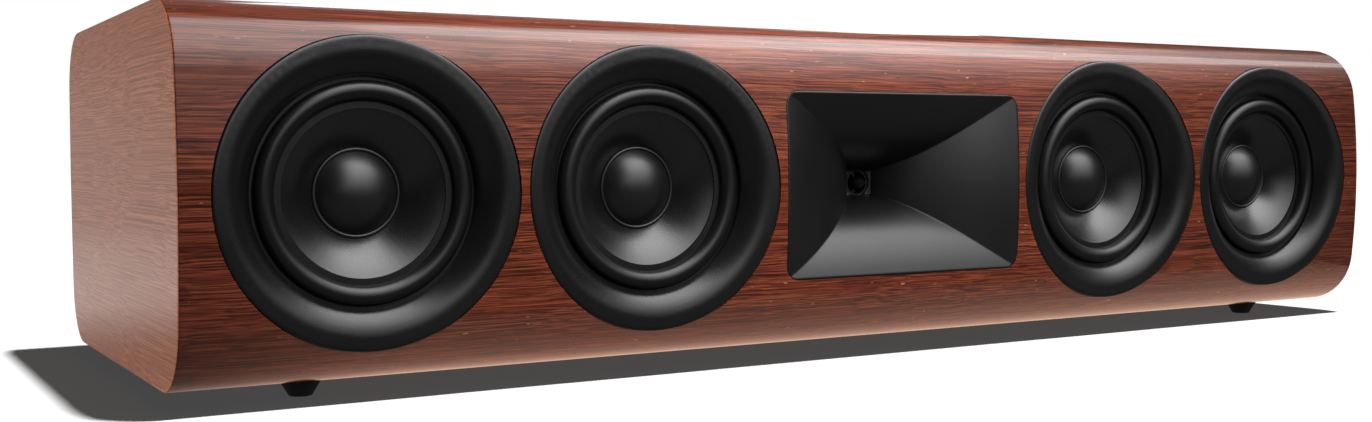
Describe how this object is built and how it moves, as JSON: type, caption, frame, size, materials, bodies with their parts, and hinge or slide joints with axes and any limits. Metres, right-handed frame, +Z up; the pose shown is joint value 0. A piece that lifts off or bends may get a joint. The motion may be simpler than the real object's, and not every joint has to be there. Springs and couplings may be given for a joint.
{
  "type": "center channel speaker",
  "caption": "Long center channel loudspeaker with a crowned veneered front, woofers in black trim rings and a rectangular horn, for placing under a screen.",
  "frame": {"origin": "on the floor, under the middle of the cabinet's width and depth", "axes": "+X along the cabinet's width, to the right seen from the front; +Y to the back, the front faces -Y; +Z up"},
  "size_m": [0.874, 0.3151, 0.2028],
  "materials": {
    "veneer": "satin lacquered rosewood-type veneer",
    "board": "raw fibreboard",
    "black_moulding": "satin black moulding",
    "basket_metal": "cast, painted black",
    "surround_rubber": "matt black rubber",
    "cone_black": "coated pulp, satin black",
    "cap_black": "coated pulp, satin black",
    "coil_copper": "enamelled copper on a polyimide former",
    "spider_cloth": "treated cloth",
    "steel": "zinc plated steel",
    "ferrite": "sintered ferrite",
    "black_screws": "black zinc",
    "horn_black": "satin black moulding",
    "plug_grey": "satin dark grey",
    "driver_black": "satin black paint",
    "foot_rubber": "matt black",
    "post_gold": "gold plated brass",
    "knob_red": "clear-coated red",
    "knob_black": "clear-coated black",
    "circuit_board": "glass-fibre laminate",
    "capacitor_film": "film wrap"
  },
  "bodies": {
    "cabinet": {"cabinet_shell": "veneer", "left_end_panel": "veneer", "right_end_panel": "veneer", "brace_left": "board", "brace_right": "board", "foot_front_left": "foot_rubber", "foot_front_right": "foot_rubber", "foot_rear_left": "foot_rubber", "foot_rear_right": "foot_rubber", "foot_screws": "black_screws", "trim_ring_outer_left": "black_moulding", "basket_outer_left": "basket_metal", "surround_outer_left": "surround_rubber", "spider_outer_left": "spider_cloth", "trim_ring_inner_left": "black_moulding", "basket_inner_left": "basket_metal", "surround_inner_left": "surround_rubber", "spider_inner_left": "spider_cloth", "trim_ring_inner_right": "black_moulding", "basket_inner_right": "basket_metal", "surround_inner_right": "surround_rubber", "spider_inner_right": "spider_cloth", "trim_ring_outer_right": "black_moulding", "basket_outer_right": "basket_metal", "surround_outer_right": "surround_rubber", "spider_outer_right": "spider_cloth", "woofer_top_plates": "steel", "woofer_magnets": "ferrite", "woofer_yokes": "steel", "woofer_screws": "black_screws", "horn": "horn_black", "horn_screws": "black_screws", "phase_plug": "plug_grey", "driver_body": "driver_black", "driver_cover": "driver_black", "driver_bolts": "black_screws", "port_left": "black_moulding", "port_right": "black_moulding", "terminal_cup": "black_moulding", "terminal_screws": "black_screws", "terminal_studs": "post_gold", "crossover_board": "circuit_board", "crossover_spacers": "black_moulding", "crossover_coils": "coil_copper", "crossover_capacitors": "capacitor_film"},
    "cone_outer_left": {"cone_outer_left": "cone_black", "dust_cap_outer_left": "cap_black", "voice_coil_outer_left": "coil_copper"},
    "cone_inner_left": {"cone_inner_left": "cone_black", "dust_cap_inner_left": "cap_black", "voice_coil_inner_left": "coil_copper"},
    "cone_inner_right": {"cone_inner_right": "cone_black", "dust_cap_inner_right": "cap_black", "voice_coil_inner_right": "coil_copper"},
    "cone_outer_right": {"cone_outer_right": "cone_black", "dust_cap_outer_right": "cap_black", "voice_coil_outer_right": "coil_copper"},
    "knob_red": {"terminal_knob_red": "knob_red"},
    "knob_black": {"terminal_knob_black": "knob_black"}
  },
  "joints": [
    {"name": "cone_slide_outer_left", "type": "slide", "parent": "cabinet", "child": "cone_outer_left", "axis": [0, -1, 0], "range_m": [-0.004, 0.004], "stiffness_N_per_m": 1200, "deforming": ["surround_outer_left", "spider_outer_left"]},
    {"name": "cone_slide_inner_left", "type": "slide", "parent": "cabinet", "child": "cone_inner_left", "axis": [0, -1, 0], "range_m": [-0.004, 0.004], "stiffness_N_per_m": 1200, "deforming": ["surround_inner_left", "spider_inner_left"]},
    {"name": "cone_slide_inner_right", "type": "slide", "parent": "cabinet", "child": "cone_inner_right", "axis": [0, -1, 0], "range_m": [-0.004, 0.004], "stiffness_N_per_m": 1200, "deforming": ["surround_inner_right", "spider_inner_right"]},
    {"name": "cone_slide_outer_right", "type": "slide", "parent": "cabinet", "child": "cone_outer_right", "axis": [0, -1, 0], "range_m": [-0.004, 0.004], "stiffness_N_per_m": 1200, "deforming": ["surround_outer_right", "spider_outer_right"]},
    {"name": "knob_turn_red", "type": "hinge", "parent": "cabinet", "child": "knob_red", "pos_m": [-0.00953, 0.1383, 0.10555], "axis": [0, 1, 0], "range_deg": [0, 1080]},
    {"name": "knob_turn_black", "type": "hinge", "parent": "cabinet", "child": "knob_black", "pos_m": [0.00953, 0.1383, 0.10555], "axis": [0, 1, 0], "range_deg": [0, 1080]}
  ]
}
